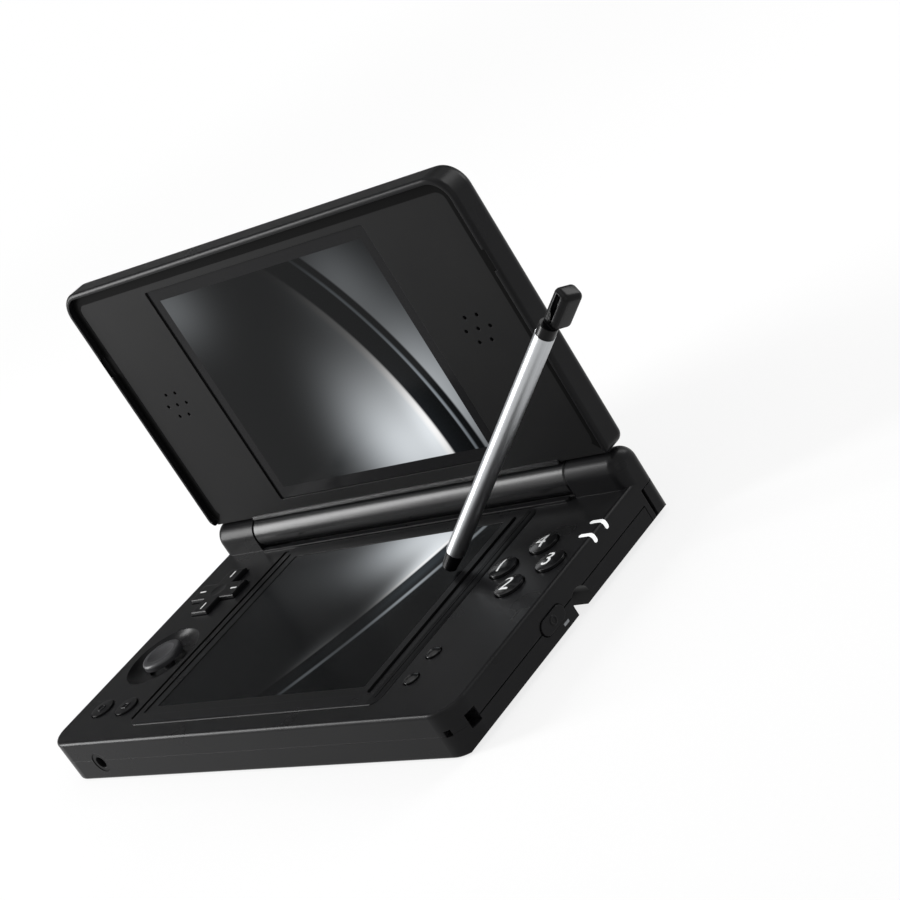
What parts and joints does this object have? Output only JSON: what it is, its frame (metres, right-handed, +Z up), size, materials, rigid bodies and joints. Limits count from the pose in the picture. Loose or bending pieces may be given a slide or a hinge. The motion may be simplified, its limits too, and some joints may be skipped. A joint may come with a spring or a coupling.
{
  "type": "clamshell handheld game console",
  "caption": "Clamshell handheld game console: hinged lid with a wide screen over a base with touch screen, direction pad, slide pad, buttons and a stylus.",
  "frame": {"origin": "centre of the base's underside", "axes": "+X to the player's right, +Y toward the hinge, +Z up out of the base"},
  "size_m": [0.1909, 0.0921, 0.1018],
  "materials": {
    "satin_black_plastic": "satin, lightly textured moulding",
    "matte_black_plastic": "fine matt moulding",
    "gloss_black_plastic": "semi-gloss moulding",
    "screen_glass": "polished dark glass over the panel",
    "display_panel": "smooth film in a sheet frame",
    "circuit_board": "solder-masked board",
    "battery_wrap": "shrink wrap",
    "bright_steel": "drawn and brushed",
    "hinge_steel": "ground",
    "grey_silicone": "moulded, matt",
    "white_lens": "clear white light guide",
    "cream_nylon": "moulded nylon",
    "speaker_black": "sheet metal can, blacked",
    "amber_film": "polyimide film"
  },
  "bodies": {
    "base": {"top_cover": "satin_black_plastic", "bottom_cover": "satin_black_plastic", "screen_frame": "matte_black_plastic", "touch_panel": "screen_glass", "lower_display": "display_panel", "main_board": "circuit_board", "board_screws": "bright_steel", "battery": "battery_wrap", "slider_module": "matte_black_plastic", "dpad_membrane": "grey_silicone", "face_button_membrane": "grey_silicone", "tact_switches": "bright_steel", "edge_switches": "bright_steel", "headphone_jack": "matte_black_plastic", "charge_port": "bright_steel", "stylus_tube": "matte_black_plastic", "microphone": "bright_steel", "status_lights": "white_lens", "power_light": "white_lens", "charge_light": "white_lens", "case_screws": "bright_steel", "hinge_pin_left": "hinge_steel", "hinge_pin_right": "hinge_steel"},
    "lid": {"lid_back": "satin_black_plastic", "lid_bezel": "matte_black_plastic", "hinge_barrel": "satin_black_plastic", "upper_window": "screen_glass", "upper_display": "display_panel", "speaker_left": "speaker_black", "speaker_right": "speaker_black", "hinge_clutch_left": "hinge_steel", "hinge_clutch_right": "hinge_steel", "display_ribbon": "amber_film"},
    "stylus": {"stylus_barrel": "bright_steel", "stylus_tip": "matte_black_plastic", "stylus_head": "satin_black_plastic"},
    "rocking_pivot": {"dpad_pivot": "cream_nylon"},
    "direction_pad": {"dpad": "gloss_black_plastic"},
    "pad_carriage": {"slider_carriage": "cream_nylon"},
    "slide_cap": {"slide_pad": "matte_black_plastic"},
    "button_top": {"face_button_top": "gloss_black_plastic"},
    "button_right": {"face_button_right": "gloss_black_plastic"},
    "button_bottom": {"face_button_bottom": "gloss_black_plastic"},
    "button_left": {"face_button_left": "gloss_black_plastic"},
    "start": {"start_button": "gloss_black_plastic"},
    "select": {"select_button": "gloss_black_plastic"},
    "home": {"home_button": "satin_black_plastic"},
    "menu": {"menu_button": "satin_black_plastic"},
    "power": {"power_button": "satin_black_plastic"},
    "volume": {"volume_rocker": "satin_black_plastic"},
    "shoulder_left": {"left_shoulder_button": "satin_black_plastic"},
    "shoulder_right": {"right_shoulder_button": "satin_black_plastic"}
  },
  "joints": [
    {"name": "lid_hinge", "type": "hinge", "parent": "base", "child": "lid", "pos_m": [0, 0.0406, 0.0165], "axis": [1, 0, 0], "range_deg": [-59, 91]},
    {"name": "stylus_stroke", "type": "slide", "parent": "base", "child": "stylus", "axis": [0.848, -0.53, 0], "range_m": [-0.038, 0.058]},
    {"name": "dpad_tip_up_down", "type": "hinge", "parent": "base", "child": "rocking_pivot", "pos_m": [-0.0638, 0.0168, 0.0098], "axis": [1, 0, 0], "range_deg": [-1.8, 1.8], "stiffness_Nm_per_rad": 0.25},
    {"name": "dpad_tip_left_right", "type": "hinge", "parent": "rocking_pivot", "child": "direction_pad", "pos_m": [-0.0638, 0.0168, 0.0098], "axis": [0, 1, 0], "range_deg": [-1.8, 1.8], "stiffness_Nm_per_rad": 0.25},
    {"name": "slide_pad_left_right", "type": "slide", "parent": "base", "child": "pad_carriage", "axis": [1, 0, 0], "range_m": [-0.0025, 0.0025], "stiffness_N_per_m": 120},
    {"name": "slide_pad_up_down", "type": "slide", "parent": "pad_carriage", "child": "slide_cap", "axis": [0, 1, 0], "range_m": [-0.0025, 0.0025], "stiffness_N_per_m": 120},
    {"name": "press_button_top", "type": "slide", "parent": "base", "child": "button_top", "axis": [0, 0, -1], "range_m": [0, 0.0006], "stiffness_N_per_m": 250},
    {"name": "press_button_right", "type": "slide", "parent": "base", "child": "button_right", "axis": [0, 0, -1], "range_m": [0, 0.0006], "stiffness_N_per_m": 250},
    {"name": "press_button_bottom", "type": "slide", "parent": "base", "child": "button_bottom", "axis": [0, 0, -1], "range_m": [0, 0.0006], "stiffness_N_per_m": 250},
    {"name": "press_button_left", "type": "slide", "parent": "base", "child": "button_left", "axis": [0, 0, -1], "range_m": [0, 0.0006], "stiffness_N_per_m": 250},
    {"name": "press_start", "type": "slide", "parent": "base", "child": "start", "axis": [0, 0, -1], "range_m": [0, 0.0005], "stiffness_N_per_m": 250},
    {"name": "press_select", "type": "slide", "parent": "base", "child": "select", "axis": [0, 0, -1], "range_m": [0, 0.0005], "stiffness_N_per_m": 250},
    {"name": "press_home", "type": "slide", "parent": "base", "child": "home", "axis": [0, 0, -1], "range_m": [0, 0.0005], "stiffness_N_per_m": 250},
    {"name": "press_menu", "type": "slide", "parent": "base", "child": "menu", "axis": [0, 0, -1], "range_m": [0, 0.0005], "stiffness_N_per_m": 250},
    {"name": "press_power", "type": "slide", "parent": "base", "child": "power", "axis": [-1, 0, 0], "range_m": [0, 0.0005], "stiffness_N_per_m": 250},
    {"name": "volume_rock", "type": "hinge", "parent": "base", "child": "volume", "pos_m": [-0.0785, -0.0005, 0.0065], "axis": [0, 0, 1], "range_deg": [-2.5, 2.5], "stiffness_Nm_per_rad": 0.05},
    {"name": "press_left_shoulder", "type": "hinge", "parent": "base", "child": "shoulder_left", "pos_m": [-0.0605, 0.0425, 0], "axis": [0, 0, 1], "range_deg": [0, 2], "stiffness_Nm_per_rad": 0.4},
    {"name": "press_right_shoulder", "type": "hinge", "parent": "base", "child": "shoulder_right", "pos_m": [0.0605, 0.0425, 0], "axis": [0, 0, -1], "range_deg": [0, 2], "stiffness_Nm_per_rad": 0.4}
  ],
  "couplings": [
    {"joint": "stylus_stroke", "follows": "lid_hinge", "m_per_rad": 0.0362}
  ]
}
